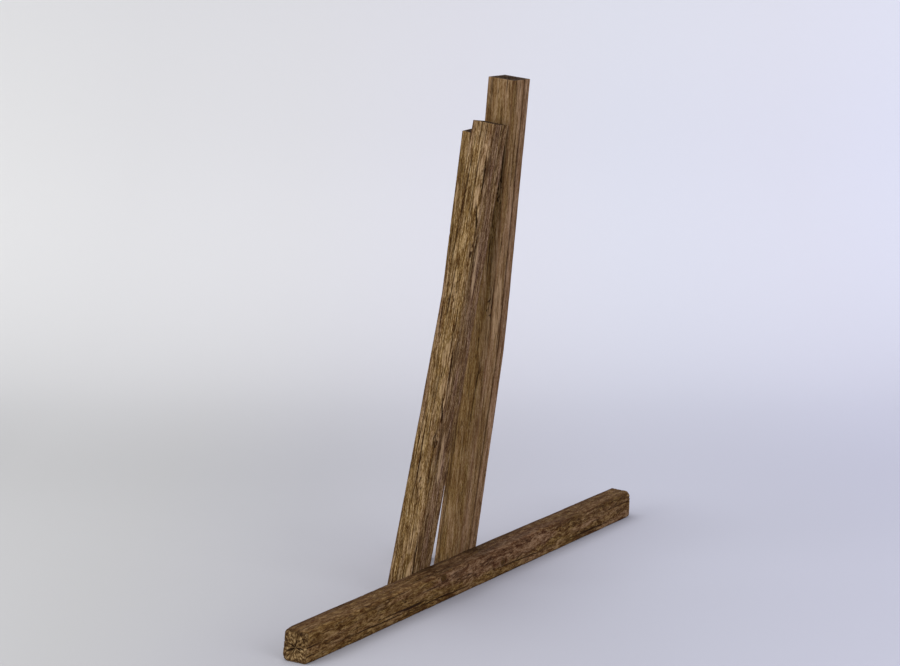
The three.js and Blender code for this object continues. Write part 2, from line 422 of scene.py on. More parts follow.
def arris_radius(timber, corner, level, from_near_end, from_far_end):
    """The worn radius of each arris along the timber, with a few nicks out of it."""
    radius = np.empty(corner.shape)
    near, far = bell(from_near_end, END_WEAR_REACH), bell(from_far_end, END_WEAR_REACH)
    for index in range(4):
        wander = line_noise(level, 0.21, timber.seed + 101 * (index + 1))
        nicks = smoothstep(0.25, 0.70, line_noise(level + 5.0, 0.045, timber.seed + 211 * (index + 1)))
        local = timber.arris[index] * (1.0 + 0.35 * wander) + timber.nicks * nicks
        local = local + timber.end_wear.get(index, 0.0) * near + timber.far_wear.get(index, 0.0) * far
        radius = np.where(corner == index, local, radius)
    return radius


class Surface:
    """The sides of a timber as a grid of rings and columns, with the masks that its material reads."""

    def __init__(self, timber, profile):
        self.timber = timber
        self.profile = profile
        face, across = face_grid(timber.columns)
        self.columns = len(face)
        length = profile.high - profile.low
        margin = MIDDLE_MARGIN / length
        middle = np.linspace(margin, 1 - margin, round(length / ALONG_STEP))
        ends = np.array(END_STEPS) / length
        self.part = np.concatenate([ends, middle, 1 - ends[::-1]])
        self.rings = len(self.part)
        self.face = np.broadcast_to(face, (self.rings, self.columns))
        self.across = np.broadcast_to(across, (self.rings, self.columns))
        self.build_section()
        self.grain = np.concatenate([self.spun(self.flat, self.level), self.level[..., None]], -1)
        self.weather()

    def build_section(self):
        """Rounds the square section's arrises and its two ends."""
        profile, timber = self.profile, self.timber
        square = square_point(self.face, self.across)
        near = profile.cap_level(square[0], profile.near_cap)
        far = profile.cap_level(square[-1], profile.far_cap)
        self.level = near + self.part[:, None] * (far - near)
        halves = profile.along(profile.halves, self.level)
        corner = (self.face + (self.across > 0)) % 4
        radius = arris_radius(timber, corner, self.level, self.level - near, far - self.level)
        point = square * halves
        core = np.clip(point, radius[..., None] - halves, halves - radius[..., None])
        outward = point - core
        self.outward = outward / np.linalg.norm(outward, axis=-1, keepdims=True)
        from_end = np.minimum(self.level - near, far - self.level)
        gap = np.clip(END_RADIUS - from_end, 0.0, END_RADIUS)
        self.inset = END_RADIUS - np.sqrt(END_RADIUS**2 - gap**2)
        self.flat = core + self.outward * radius[..., None]
        self.side = float(halves.mean() * 2)
        self.perimeter = (self.face[0] + (self.across[0] + 1) / 2) * self.side
        self.ring_low, self.ring_high = self.level.min(axis=1), self.level.max(axis=1)

    def spun(self, across, level):
        """Places across the section, turned by the slow spiral that the grain runs in."""
        return Profile.rotate(across, self.timber.slant / (self.side / 2) * level)

    def weather(self):
        """Fills the masks and the depth of every point below the sawn surface."""
        timber = self.timber
        self.masks = {name: np.zeros(self.level.shape) for name in MASKS}
        # Painted shade: the colour darkens towards every arris.
        self.masks["arris_shade"] = smoothstep(0.82, 1.0, np.abs(self.across))
        tints = np.array([timber.tint[face] for face in timber.faces])
        nearest = np.where(self.across > 0, (self.face + 1) % 4, (self.face + 3) % 4)
        ragged = 0.35 * fractal(self.grain, (0.02, 0.02, 0.12), timber.seed + 7)
        mixed = 0.5 * smoothstep(0.25, 1.0, np.abs(self.across) + ragged)
        soft = 0.45 * fractal(self.grain, (0.022, 0.022, 0.16), timber.seed + 3)
        self.masks["tint"] = tints[self.face] * (1 - mixed) + tints[nearest] * mixed + soft
        self.depth = timber.hew * fractal(self.grain, (0.05, 0.05, 0.22), timber.seed + 5)
        self.depth += 0.0005 * fractal(self.grain, (0.007, 0.007, 0.10), timber.seed + 9)
        adders = {Check: self.add_check, Patch: self.add_patch, Chips: self.add_chips, Knot: self.add_knot}
        for index, detail in enumerate(timber.details + self.random_details()):
            adders[type(detail)](detail, timber.seed + 31 * index)
        self.clear_washers()

    def random_details(self):
        """Cracks of chance on every face and at the sawn ends, and splinters all over, by a seeded draw."""
        draw = np.random.default_rng(self.timber.seed)
        low, high = self.profile.low, self.profile.high
        made = []
        for face in self.timber.faces:
            for _ in range(self.timber.random_checks):
                span = draw.uniform(*CHECK_LENGTHS)
                start, drift = draw.uniform(low, high - span * 0.6), draw.uniform(-0.12, 0.12)
                width, depth = draw.uniform(*CHECK_WIDTHS), draw.uniform(*CHECK_DEPTHS)
                made.append(Check(face, draw.uniform(-0.92, 0.92), drift, start, span, width, depth))
            for start_part in (-0.25, -0.25, -0.75, -0.75):
                span = draw.uniform(*END_CHECK_LENGTHS)
                start = (low if start_part > -0.5 else high) + start_part * span
                across, drift = draw.uniform(-0.7, 0.7), draw.uniform(-0.06, 0.06)
                made.append(Check(face, across, drift, start, span, 0.0024, 0.0025))
            count = self.timber.random_chips // 4
            made.append(Chips(face, 0.0, (low + high) / 2, 0.8 * self.side, high - low, count))
        return made

    def window(self, face, across, low, high, reach):
        """The rings between two levels and the columns within reach of a place, with levels and offsets."""
        rings = np.nonzero((self.ring_high > low) & (self.ring_low < high))[0]
        turn = 4 * self.side
        place = (self.timber.faces.index(face) + (across + 1) / 2) * self.side
        offset = (self.perimeter - place + turn / 2) % turn - turn / 2
        columns = np.nonzero(np.abs(offset) < reach)[0]
        window = np.ix_(rings, columns)
        return window, self.level[window], offset[columns]

    def raise_mask(self, name, window, values):
        self.masks[name][window] = np.maximum(self.masks[name][window], values)

    def add_check(self, check, seed):
        """A groove that wanders, has a ragged width and tapers at both ends."""
        half = self.side / 2
        reach = (abs(check.drift) + 0.2) * half + 3 * check.width
        end = check.along + check.length
        window, level, offset = self.window(check.face, check.across, check.along, end, reach)
        part = (level - check.along) / check.length
        inside = np.clip(part, 0.0, 1.0)
        taper = np.sqrt(np.clip(np.sin(math.pi * inside), 0.0, 1.0)) * ((part > 0) & (part < 1))
        ragged = 1.0 + 0.5 * line_noise(level, 0.05, seed + 2)
        wander = 0.0024 * line_noise(level, 0.17, seed) + 0.0012 * line_noise(level, 0.03, seed + 1)
        offset = offset - check.drift * inside * half - wander
        width = check.width * np.maximum(ragged, 0.4) * np.maximum(taper, 0.05)
        groove = np.clip(1.0 - np.abs(offset) / width, 0.0, 1.0) ** 0.7 * taper
        self.depth[window] += groove * check.depth * np.maximum(ragged, 0.5)
        # The material lays this mask in near black: painted shade in the groove.
        self.raise_mask("check", window, groove)

    def add_patch(self, patch, seed):
        """Fills a mask in fibres, out to a ragged edge. A pale patch, sliver and painted light alike, also
        stands a little proud.
        """
        reach = 1.6 * patch.half_width + abs(patch.slope) * patch.half_length
        low, high = patch.along - patch.half_length, patch.along + patch.half_length
        window, level, offset = self.window(patch.face, patch.across, low, high, reach)
        part = (level - patch.along) / patch.half_length
        edge = 0.25 * line_noise(level, 0.035, seed) + 0.20 * line_noise(level, 0.011, seed + 1)
        offset = offset - patch.slope * (level - patch.along)
        away = np.abs(offset / patch.half_width) * (1 + edge) + part**4
        fibres = 0.75 + 0.45 * line_noise(offset + 0.02 * level, 0.0028, seed + 2)
        value = patch.strength * smoothstep(1.0, 0.55, away) * fibres
        if patch.mask == "tint":
            self.masks["tint"][window] += value
        else:
            self.raise_mask(patch.mask, window, value)
        if patch.mask == "sliver_and_painted_light":
            self.depth[window] -= 0.0008 * value

    def add_chips(self, chips, seed):
        draw = np.random.default_rng(seed)
        half = self.side / 2
        for _ in range(chips.count):
            turn, out = draw.uniform(0, math.tau), math.sqrt(draw.uniform(0, 1))
            across = chips.across + math.cos(turn) * out * chips.half_width / half
            along = chips.along + math.sin(turn) * out * chips.half_length
            wide, long = draw.uniform(*CHIP_HALF_WIDTHS), draw.uniform(*CHIP_HALF_LENGTHS)
            torn, deep = draw.uniform(0, 1) < 0.5, draw.uniform(*CHIP_DEPTHS)
            window, level, offset = self.window(chips.face, across, along - long, along + long, wide)
            distance = np.hypot(offset / wide, (level - along) / long)
            value = smoothstep(1.0, 0.2, distance)
            self.depth[window] += value * (-0.3 * deep if torn else deep)
            self.raise_mask("sliver_and_painted_light" if torn else "check", window, value * (0.55 if torn else 0.70))

    def add_knot(self, knot, seed):
        """A knot stands a little proud in a ring of shrunken grain, and the grain flows round it."""
        reach = 6 * knot.radius
        low, high = knot.along - 1.6 * reach, knot.along + 1.6 * reach
        window, level, offset = self.window(knot.face, knot.across, low, high, reach)
        along = (level - knot.along) / 1.7
        ragged = 1 + 0.25 * line_noise(np.arctan2(offset, along), 0.6, seed)
        distance = np.hypot(offset, along) * ragged
        ring = bell(distance - knot.radius, 0.30 * knot.radius)
        heart = 1 - smoothstep(0.70, 1.10, distance / knot.radius)
        self.depth[window] += 0.0018 * ring - 0.0008 * bell(distance, 2.6 * knot.radius)
        self.raise_mask("knot", window, heart)
        self.raise_mask("check", window, 0.40 * ring)
        push = offset * np.minimum((1.15 * knot.radius / np.maximum(distance, 1e-5)) ** 2, 1.0)
        push *= smoothstep(reach, 0.5 * reach, distance) * (1 - heart)
        outward = self.outward[window]
        tangent = np.stack([-outward[..., 1], outward[..., 0]], -1)
        flow = self.spun(tangent * push[..., None], level)
        self.grain[window] -= np.concatenate([flow, np.zeros(push.shape + (1,))], -1)

    def clear_washers(self):
        """Leaves the wood flat under each washer, and stains it where the iron has wept."""
        place = self.profile.place(self.level, self.flat)
        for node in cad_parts:
            if not node.startswith("washer"):
                continue
            low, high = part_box(node)
            away = place - (np.array(low) + np.array(high)) / 2
            distance = np.linalg.norm(away, axis=-1)
            self.depth *= smoothstep(*WASHER_CLEAR, distance)
            run = bell(np.hypot(away[..., 0], away[..., 1]), RUN_WIDTH) * np.exp(away[..., 2] / RUN_LENGTH)
            stain = np.maximum(bell(distance, BLOOM_WIDTH), np.where(away[..., 2] < 0, 0.8 * run, 0.0))
            self.masks["stain"] = np.maximum(self.masks["stain"], stain)

    def points(self):
        inward = (self.depth + self.inset)[..., None]
        return self.profile.place(self.level, self.flat - self.outward * inward)


class Cap:
    """A sawn end: rings that close in on the middle, split by checks that run out from the pith."""

    def __init__(self, surface, ring, outward, seed):
        points = surface.points()[ring]
        middle = points.mean(axis=0)
        steps = 1 - (np.arange(CAP_RINGS) + 1) / (CAP_RINGS + 1)
        self.reach = steps[:, None] * np.ones(surface.columns)
        self.points = middle + (points - middle) * self.reach[..., None]
        flat = surface.flat[ring] * self.reach[..., None]
        self.middle = middle
        self.split(flat, outward, seed)

    def split(self, flat, outward, seed):
        """Opens checks that run out from the pith, and lays out the grain in rays round it."""
        draw = np.random.default_rng(seed)
        away = flat - draw.uniform(-0.008, 0.008, 2)
        distance = np.linalg.norm(away, axis=-1)
        angle = np.arctan2(away[..., 1], away[..., 0])
        ray = np.stack([np.cos(angle), np.sin(angle)], -1) * RAY_RADIUS
        self.grain = np.concatenate([ray, distance[..., None]], -1)
        place = np.concatenate([flat, np.zeros(flat.shape[:-1] + (1,))], -1)
        depth = 0.0007 * fractal(place, (0.006, 0.006, 0.006), seed + 1)
        depth += 0.0016 * smoothstep(0.05, 0.5, fractal(place, (0.011, 0.011, 0.011), seed + 2))
        check = np.zeros(depth.shape)
        for index in range(END_SPLITS):
            heading = draw.uniform(-math.pi, math.pi)
            start, end = draw.uniform(*SPLIT_STARTS), draw.uniform(*SPLIT_ENDS)
            wander = 0.16 * line_noise(distance, 0.012, seed + 5 * index)
            turn = (angle - heading - wander + math.pi) % math.tau - math.pi
            gap = np.abs(turn) * np.maximum(distance, 0.004)
            run = smoothstep(start - 0.004, start + 0.004, distance)
            run = run * (1 - smoothstep(end - 0.015, end, distance))
            groove = np.clip(1 - gap / draw.uniform(*SPLIT_WIDTHS), 0, 1) * run
            depth = np.maximum(depth, groove * draw.uniform(*SPLIT_DEPTHS))
            check = np.maximum(check, groove)
        inside = smoothstep(1.0, 0.93, self.reach)
        self.check = check * inside
        ragged = 0.15 * fractal(place, (0.02, 0.02, 0.02), seed + 3)
        self.rim = 0.55 * smoothstep(0.70, 1.0, self.reach + ragged)
        self.points -= (depth * inside)[..., None] * np.asarray(outward)


def add_object(name, data):
    made = bpy.data.objects.new(name, data)
    bpy.context.scene.collection.objects.link(made)
    return made


def add_mesh_object(name, vertices, faces, material):
    mesh = bpy.data.meshes.new(name)
    mesh.from_pydata(vertices, [], faces)
    mesh.materials.append(material)
    mesh.shade_smooth()
    return add_object(name, mesh)


def stand_in(piece, node):
    """Puts a visible piece in the place of a CAD node."""
    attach(piece, "root")
    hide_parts(node)


def add_values(mesh, name, values):
    """Stores one value or vector for each vertex, for the material to read."""
    kind, key = ("FLOAT_VECTOR", "vector") if values.ndim == 2 else ("FLOAT", "value")
    layer = mesh.attributes.new(name, kind, "POINT")
    layer.data.foreach_set(key, np.ascontiguousarray(values, dtype=np.float32).ravel())


def ring_faces(rings, columns, first=0):
    """Quads between rings of a grid whose first vertex is the given one."""
    ring = np.arange(rings - 1)[:, None] * columns
    column = np.arange(columns)[None, :]
    following = (column + 1) % columns
    above = ring + columns
    quads = np.stack([ring + column, ring + following, above + following, above + column], -1)
    return (quads + first).reshape(-1, 4).tolist()


def cap_faces(rim, first, columns):
    """The faces from the rim's ring, through a cap's rings that start at first, to its middle."""
    following = [(column + 1) % columns for column in range(columns)]
    joined = [(rim + c, rim + n, first + n, first + c) for c, n in enumerate(following)]
    last = first + (CAP_RINGS - 1) * columns
    fan = [(last + c, last + n, last + columns) for c, n in enumerate(following)]
    return joined + ring_faces(CAP_RINGS, columns, first) + fan


def build_timber(timber, material):
    profile = Profile(timber)
    surface = Surface(timber, profile)
    columns, count = surface.columns, surface.rings * surface.columns
    vertices = [surface.points().reshape(-1, 3)]
    grain = [surface.grain.reshape(-1, 3)]
    masks = {name: [mask.ravel()] for name, mask in surface.masks.items()}
    masks["endgrain"] = [np.zeros(count)]
    faces = ring_faces(surface.rings, columns)
    ends = ((0, 0, profile.near_cap[0]), (-1, count - columns, profile.far_cap[0]))
    for index, (ring, rim, outward) in enumerate(ends):
        cap = Cap(surface, ring, outward, timber.seed + 61 + 6 * index)
        first = sum(len(block) for block in vertices)
        vertices += [cap.points.reshape(-1, 3), cap.middle[None, :]]
        grain += [cap.grain.reshape(-1, 3), np.zeros((1, 3))]
        size = cap.check.size
        filled = {"check": cap.check, "grime_and_shade": cap.rim, "endgrain": np.ones(size)}
        for name, blocks in masks.items():
            blocks.append(np.append(filled.get(name, np.zeros(size)).ravel(), float(name == "endgrain")))
        closing = cap_faces(rim, first, columns)
        faces += [face[::-1] for face in closing] if ring == 0 else closing

    points = np.concatenate(vertices).tolist()
    piece = add_mesh_object(timber.node + "_weathered", points, faces, material)
    for name, blocks in masks.items():
        add_values(piece.data, name, np.concatenate(blocks))
    add_values(piece.data, "grain", np.concatenate(grain))
    stand_in(piece, timber.node)


# == Coach screws ==
ROUND = 36  # columns round a screw or washer, six to each flat of a head
THREAD_PITCH = 0.004
THREAD_DEPTH = 0.0008
TIP_LENGTH = 0.012
PLAIN_PART = 0.35  # of the shank, under the head
SHARP_ANGLE = math.radians(32)
END_BAND = 0.003  # length at each end of a screw in which its width is compared


class Axis:
    """The axis of a CAD screw, leading out of the wood from its tip to its head."""

    def __init__(self, name):
        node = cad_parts[name]
        points = self.points(node)
        long = np.linalg.svd(points - points.mean(axis=0), full_matrices=False)[2][0]
        squarest = max(node.data.polygons, key=lambda face: abs(face.normal.dot(Vector(long))))
        self.out = np.array(node.matrix_world.to_3x3() @ squarest.normal)
        self.out /= np.linalg.norm(self.out)
        levels = points @ self.out
        ends = (points[np.abs(levels - end) < END_BAND] for end in (levels.min(), levels.max()))
        tip_width, head_width = (np.ptp(end, axis=0).sum() for end in ends)
        if tip_width > head_width:
            self.out = -self.out
        self.side = np.cross(self.out, (0.0, 0.0, 1.0))
        self.side /= np.linalg.norm(self.side)
        self.rise = np.cross(self.out, self.side)
        flat = np.stack([points @ self.side, points @ self.rise], -1)
        self.middle = (flat.min(axis=0) + flat.max(axis=0)) / 2

    @staticmethod
    def points(node):
        return np.array([node.matrix_world @ vertex.co for vertex in node.data.vertices])

    def read(self, name):
        """The distance off the axis, the angle about it and the level along it of a CAD node's vertices."""
        points = self.points(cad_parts[name])
        across = points @ self.side - self.middle[0], points @ self.rise - self.middle[1]
        return np.hypot(*across), np.arctan2(across[1], across[0]), points @ self.out

    def turned(self, rings, start=0.0):
        """The points of (radius, level) rings, with one radius or one for each column."""
        angles = start + np.arange(ROUND) * math.tau / ROUND
        rows = []
        for radius, level in rings:
            across = self.middle[0] + radius * np.cos(angles), self.middle[1] + radius * np.sin(angles)
            rows.append(np.outer(across[0], self.side) + np.outer(across[1], self.rise) + self.out * level)
        return np.concatenate(rows)


def screw_rings(radius, angle, level):
    """The rings of a screw from its tip to the dished top of its chamfered hexagon head."""
    corner, tip, top = radius.max(), level.min(), level.max()
    under = level[radius > 0.9 * corner].min()
    shank = radius[level < under - 0.002].max()
    turns = np.arange(ROUND) / ROUND
    plain_from = under - PLAIN_PART * (under - tip)
    rings = [(0.25 * shank, tip)]
    for place in np.arange(tip + THREAD_PITCH / 4, plain_from, THREAD_PITCH / 4):
        body = shank * min(1.0, 0.30 + 0.70 * (place - tip) / TIP_LENGTH)
        groove = np.abs(2.0 * (((place - tip) / THREAD_PITCH - turns) % 1.0) - 1.0)
        depth = THREAD_DEPTH * min(1.0, (plain_from - place) / THREAD_PITCH)
        rings.append((body - depth * groove * body / shank, place))
    rings += [(shank, plain_from), (shank, under)]
    flat = corner * math.cos(math.pi / 6)
    hexagon = flat / np.cos((turns * math.tau) % (math.pi / 3) - math.pi / 6)
    rings += [(0.97 * hexagon, under), (hexagon, under + 0.0004)]
    for drop in (0.0022, 0.0013, 0.0009, 0.0006, 0.0003, 0.0):
        rings.append((np.minimum(hexagon, 0.93 * flat + drop * math.tan(math.pi / 3)), top - drop))
    rings += [(0.78 * flat, top - 0.0001), (0.66 * flat, top - 0.0005), (0.35 * flat, top - 0.0006)]
    return rings, float(angle[np.argmax(radius)])


def washer_rings(radius, level):
    """The rings of a washer with worn edges: up its rim, in over it, down its hole and out under it."""
    hole, rim, low, high = radius.min(), radius.max(), level.min(), level.max()
    return [
        (rim - 0.0009, low), (rim - 0.0002, low + 0.0003), (rim, (low + high) / 2),
        (rim - 0.0002, high - 0.0007), (rim - 0.0008, high - 0.0003), (rim - 0.0020, high - 0.0001),
        (hole + 0.0030, high), (hole + 0.0004, high), (hole, high - 0.0004),
        (hole, low + 0.0003), (hole + 0.0003, low),
    ]


def build_turned(node, axis, rings, start, material):
    """One turned piece in place of a CAD node. It is a closed loop of rings, or it has two flat ends."""
    points = axis.turned(rings, start)
    count = len(points)
    faces = ring_faces(len(rings), ROUND)
    if node.startswith("washer"):
        last = count - ROUND
        faces += [(last + i, last + (i + 1) % ROUND, (i + 1) % ROUND, i) for i in range(ROUND)]
    else:
        faces += [tuple(range(ROUND))[::-1], tuple(range(count - ROUND, count))]
    piece = add_mesh_object(node + "_turned", points.tolist(), faces, material)
    piece.data.set_sharp_from_angle(angle=SHARP_ANGLE)
    stand_in(piece, node)


def build_fixing(name, material):
    screw, washer = "screw_" + name, "washer_" + name
    axis = Axis(screw)
    rings, start = screw_rings(*axis.read(screw))
    build_turned(screw, axis, rings, start, material)
    radius, _, level = axis.read(washer)
    build_turned(washer, axis, washer_rings(radius, level), 0.0, material)


# == Materials ==
def srgb(*values):
    """A colour in the 0 to 255 values of a picture, as the shader's linear colour."""
    linear = [v / 255 / 12.92 if v <= 10 else ((v / 255 + 0.055) / 1.055) ** 2.4 for v in values]
    return (*linear, 1.0)


def palette(*colours):
    return tuple(srgb(*colour) for colour in colours)


class Shader:
    """A material being built: short calls for the nodes that the materials here share."""

    def __init__(self, name):
        self.material = bpy.data.materials.new(name)
        self.material.use_nodes = True
        self.tree = self.material.node_tree
        self.surface = self.tree.nodes["Principled BSDF"]

    def fill(self, node, inputs):
        """Sets a node's inputs. A value that is another node's output is linked."""
        for key, value in inputs.items():
            if isinstance(value, bpy.types.NodeSocket):
                self.tree.links.new(value, node.inputs[key])
            else:
                node.inputs[key].default_value = value
        return node

    def add(self, kind, inputs=None, **settings):
        node = self.tree.nodes.new(kind)
        for key, value in settings.items():
            setattr(node, key, value)
        return self.fill(node, inputs or {})

    def attribute(self, name, output="Fac"):
        return self.add("ShaderNodeAttribute", attribute_name=name).outputs[output]

    def place(self):
        return self.add("ShaderNodeTexCoord").outputs["Object"]

    def stretch(self, vector, scale, shift=(0.0, 0.0, 0.0)):
        inputs = {"Vector": vector, "Scale": scale, "Location": shift}
        return self.add("ShaderNodeMapping", inputs).outputs[0]

    def noise(self, vector, scale, detail, roughness=0.55, output="Fac"):
        """Noise with its cells in a metre across the grain and along it."""
        across, along = scale
        inputs = {"Vector": self.stretch(vector, (across, across, along)), "Scale": 1.0}
        inputs |= {"Detail": detail, "Roughness": roughness}
        return self.add("ShaderNodeTexNoise", inputs).outputs[output]

    def math(self, operation, first, second=0.0, clamp=False):
        inputs = {0: first, 1: second}
        return self.add("ShaderNodeMath", inputs, operation=operation, use_clamp=clamp).outputs[0]

    def vector(self, operation, first, second, output="Vector"):
        inputs = {0: first, 1: second}
        return self.add("ShaderNodeVectorMath", inputs, operation=operation).outputs[output]

    def blend(self, *weighted):
        """The sum of (value, weight) pairs."""
        total = self.math("MULTIPLY", *weighted[0])
        for value, weight in weighted[1:]:
            total = self.math("ADD", total, self.math("MULTIPLY", value, weight))
        return total

    def ramp(self, value, low, high, out_low=0.0, out_high=1.0):
        """A value eased from one range to another."""
        ends = {"From Min": low, "From Max": high, "To Min": out_low, "To Max": out_high}
        node = self.add("ShaderNodeMapRange", {"Value": value, **ends}, interpolation_type="SMOOTHSTEP")
        return node.outputs[0]

    def tones(self, value, low, high, colours):
        """Evenly spaced colours between two values."""
        node = self.add("ShaderNodeValToRGB", {"Fac": value})
        stops = node.color_ramp.elements
        while len(stops) < len(colours):
            stops.new(0.5)
        for index, colour in enumerate(colours):
            stops[index].position = low + (high - low) * index / (len(colours) - 1)
            stops[index].color = colour
        return node.outputs["Color"]

    def mix(self, factor, first, second):
        return self.add("ShaderNodeMix", {0: factor, 6: first, 7: second}, data_type="RGBA").outputs[2]

    def over(self, colour, *layers):
        """Layers of (mask, strength, colour) laid over a colour, one after another."""
        for mask, strength, top in layers:
            colour = self.mix(self.math("MULTIPLY", mask, strength, clamp=True), colour, top)
        return colour

    def bump(self, height, strength, distance):
        inputs = {"Height": height, "Strength": strength, "Distance": distance}
        return self.add("ShaderNodeBump", inputs).outputs[0]


@dataclass
class WoodLook:
    """The colours of one timber from dark to pale, and the size and strength of its figure."""

    golden: tuple
    purple: tuple
    end: tuple
    shift: tuple  # of the noise, so that no two timbers are alike
    streak: tuple = (230.0, 13.0)  # streaks in a metre, across and along
    fleck: tuple = (480.0, 90.0)
    waviness: float = 0.006
    blotch: float = 0.30
    blotch_scale: tuple = (90.0, 12.0)
    hair: tuple = (170.0, 4.0)


DARK_END = palette((28, 18, 10), (40, 27, 16), (56, 40, 24), (76, 56, 34))
WOOD_LOOKS = {
    "tall_timber": WoodLook(
        golden=palette((87, 61, 31), (107, 80, 43), (121, 94, 55), (132, 106, 68), (149, 124, 86)),
        purple=palette((90, 61, 40), (113, 84, 58), (127, 98, 71), (139, 110, 84), (157, 130, 104)),
        end=DARK_END,
        shift=(3.1, 1.7, 0.4),
    ),
    "front_timber": WoodLook(
        golden=palette((70, 43, 17), (105, 78, 41), (128, 101, 60), (148, 121, 81), (180, 154, 113)),
        purple=palette((50, 28, 15), (78, 52, 34), (99, 72, 52), (119, 92, 71), (152, 124, 102)),
        end=palette((28, 18, 10), (40, 28, 16), (58, 42, 26), (80, 60, 38)),
        shift=(7.9, 4.2, 1.3),
    ),
    "rear_timber": WoodLook(
        golden=palette((76, 49, 19), (110, 81, 41), (131, 104, 58), (150, 122, 77), (180, 153, 107)),
        purple=palette((73, 47, 26), (104, 75, 46), (126, 97, 65), (144, 115, 84), (170, 142, 110)),
        end=DARK_END,
        shift=(5.3, 8.8, 2.2),
    ),
    "beam_timber": WoodLook(
        golden=palette((60, 36, 10), (86, 61, 27), (103, 78, 42), (118, 92, 54), (138, 112, 70)),
        purple=palette((60, 34, 18), (88, 60, 38), (107, 79, 55), (121, 93, 68), (140, 112, 86)),
        end=palette((38, 24, 11), (76, 55, 30), (112, 88, 55), (164, 138, 98)),
        shift=(1.1, 6.4, 3.7),
        streak=(80.0, 24.0), fleck=(280.0, 80.0), hair=(75.0, 7.0),
        waviness=0.030, blotch=0.40, blotch_scale=(70.0, 20.0),
    ),
}

# Near black: painted shade where it fills grooves, and the dark of the grain in hairs, pits and knot rings.
CRACK = srgb(40, 23, 10)
SLIVER_AND_PAINTED_LIGHT = srgb(182, 150, 120)
IRON_STAIN = srgb(46, 32, 26)
# Dark brown laid by the grime mask: real grime, and painted shade where the details put it.
GRIME_AND_SHADE_COLOUR = srgb(56, 36, 21)

# Cells in a metre, across the grain and along it.
WAVE_SCALE = (16.0, 9.0)
BAND_SCALE = (38.0, 3.6)
KNOT_SCALE = (260.0, 170.0)
CHIP_SCALE = (230.0, 75.0)
ROUGH_GRAIN = 0.62  # roughness of the noise in streaks, flecks and blotches

# Parts of the noise, whose middle is 0.5, over which a colour or mask goes from none to full.
TONE_SPAN = (0.425, 0.575)
END_TONE_SPAN = (0.37, 0.63)
BLOTCH_SPAN = (0.49, 0.58)
HAIR_SPAN = (0.030, 0.008)  # of the distance from the middle
HAIR_BAND_SPAN = (0.62, 0.48)
PIT_SPAN = (0.345, 0.29)
SLIVER_AND_PAINTED_LIGHT_SPAN = (0.36, 0.54)
CHECK_SPAN = (0.08, 0.75)  # of the check mask


def wood_material(name, look):
    shader = Shader(name)
    straight = shader.stretch(shader.attribute("grain", "Vector"), (1.0, 1.0, 1.0), look.shift)
    wave = shader.noise(straight, WAVE_SCALE, 2.0, output="Color")
    sway = shader.vector("SUBTRACT", wave, (0.5, 0.5, 0.5))
    sway = shader.vector("MULTIPLY", sway, (look.waviness,) * 3)
    placed = shader.vector("ADD", straight, sway)

    streaks = shader.noise(placed, look.streak, 4.0, ROUGH_GRAIN)
    fine = shader.noise(placed, look.fleck, 3.0, ROUGH_GRAIN)
    bands = shader.noise(placed, BAND_SCALE, 3.0)
    blotches = shader.noise(placed, look.blotch_scale, 4.0, ROUGH_GRAIN)
    hairs = shader.noise(placed, look.hair, 2.0)

    tone = shader.blend((streaks, 0.46), (fine, 0.38), (bands, 0.16))
    golden = shader.tones(tone, *TONE_SPAN, look.golden)
    purple = shader.tones(tone, *TONE_SPAN, look.purple)
    by_band = shader.ramp(bands, 0.3, 0.7, -0.30, 0.30)
    colour = shader.mix(shader.math("ADD", shader.attribute("tint"), by_band, clamp=True), golden, purple)

    dark_tone = look.purple[0]
    hair = shader.ramp(shader.math("ABSOLUTE", shader.math("SUBTRACT", hairs, 0.5)), *HAIR_SPAN)
    hair = shader.math("MULTIPLY", hair, shader.ramp(bands, *HAIR_BAND_SPAN))
    pits = shader.ramp(fine, *PIT_SPAN)
    # Pale torn fibres, and one patch of painted light on the tall post's left face.
    torn = shader.math("MULTIPLY", shader.attribute("sliver_and_painted_light"), shader.ramp(streaks, *SLIVER_AND_PAINTED_LIGHT_SPAN), clamp=True)
    colour = shader.over(
        colour,
        (shader.ramp(blotches, *BLOTCH_SPAN), look.blotch, dark_tone),
        (hair, 0.70, CRACK),
        (pits, 0.70, CRACK),
        (torn, 1.0, shader.mix(fine, look.golden[-1], SLIVER_AND_PAINTED_LIGHT)),
        # painted shade along the arrises
        (shader.attribute("arris_shade"), 0.45, dark_tone),
    )

    knot_rings = shader.noise(placed, KNOT_SCALE, 4.0, 0.7)
    knot_colour = shader.mix(shader.ramp(knot_rings, 0.35, 0.65), CRACK, look.golden[1])
    colour = shader.mix(shader.attribute("knot"), colour, knot_colour)

    chips = shader.noise(straight, CHIP_SCALE, 4.0, 0.7)
    end_colour = shader.tones(chips, *END_TONE_SPAN, look.end)
    colour = shader.over(
        shader.mix(shader.attribute("endgrain"), colour, end_colour),
        (shader.attribute("stain"), 0.85, IRON_STAIN),
        # grime, and painted shade where the details put it
        (shader.attribute("grime_and_shade"), 1.0, GRIME_AND_SHADE_COLOUR),
        # painted shade in the grooves of checks, chips, knot rings and end splits
        (shader.ramp(shader.attribute("check"), *CHECK_SPAN), 1.0, CRACK),
    )

    height = shader.blend((streaks, 0.8), (fine, 0.8), (hair, -0.25), (pits, -0.25))
    shader.fill(shader.surface, {
        "Base Color": colour,
        "Roughness": shader.ramp(streaks, 0.3, 0.7, 0.95, 0.74),
        "Specular IOR Level": 0.06,
        "Normal": shader.bump(height, 0.9, 0.0016),
    })
    return shader.material


ZINC = palette((104, 102, 98), (156, 154, 150))
RUST = palette((72, 38, 20), (134, 80, 42))


